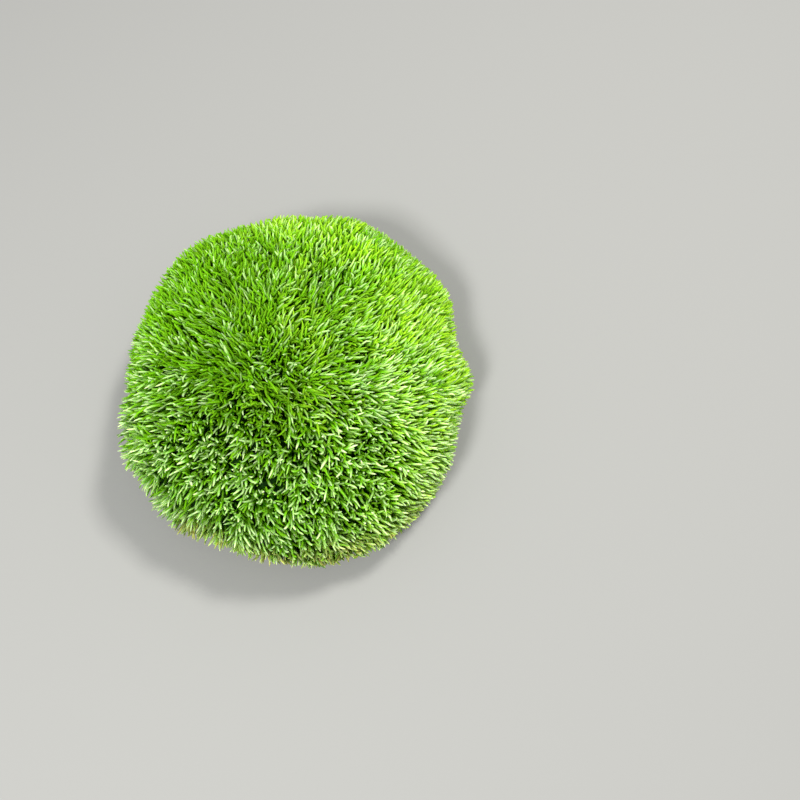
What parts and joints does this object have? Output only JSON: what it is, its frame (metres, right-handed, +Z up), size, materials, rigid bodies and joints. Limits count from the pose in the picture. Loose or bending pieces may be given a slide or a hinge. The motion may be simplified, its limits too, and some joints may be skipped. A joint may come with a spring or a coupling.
{
  "type": "moss clump",
  "caption": "Living bun of cushion moss, a low dome thickly covered in long, narrow green leaves, cut off flat underneath so that it rests on any surface.",
  "frame": {"origin": "on the ground, in the middle of the clump's footprint box", "axes": "+Z up, +Y towards the back of the clump, +X to its right as seen from the front"},
  "size_m": [0.1047, 0.1116, 0.0432],
  "materials": {
    "moss_green": "soft, matt, slightly see-through living moss leaves, bright yellow-green at the tips and deep green between them"
  },
  "bodies": {
    "root": {"moss_cushion": "moss_green"}
  },
  "joints": []
}
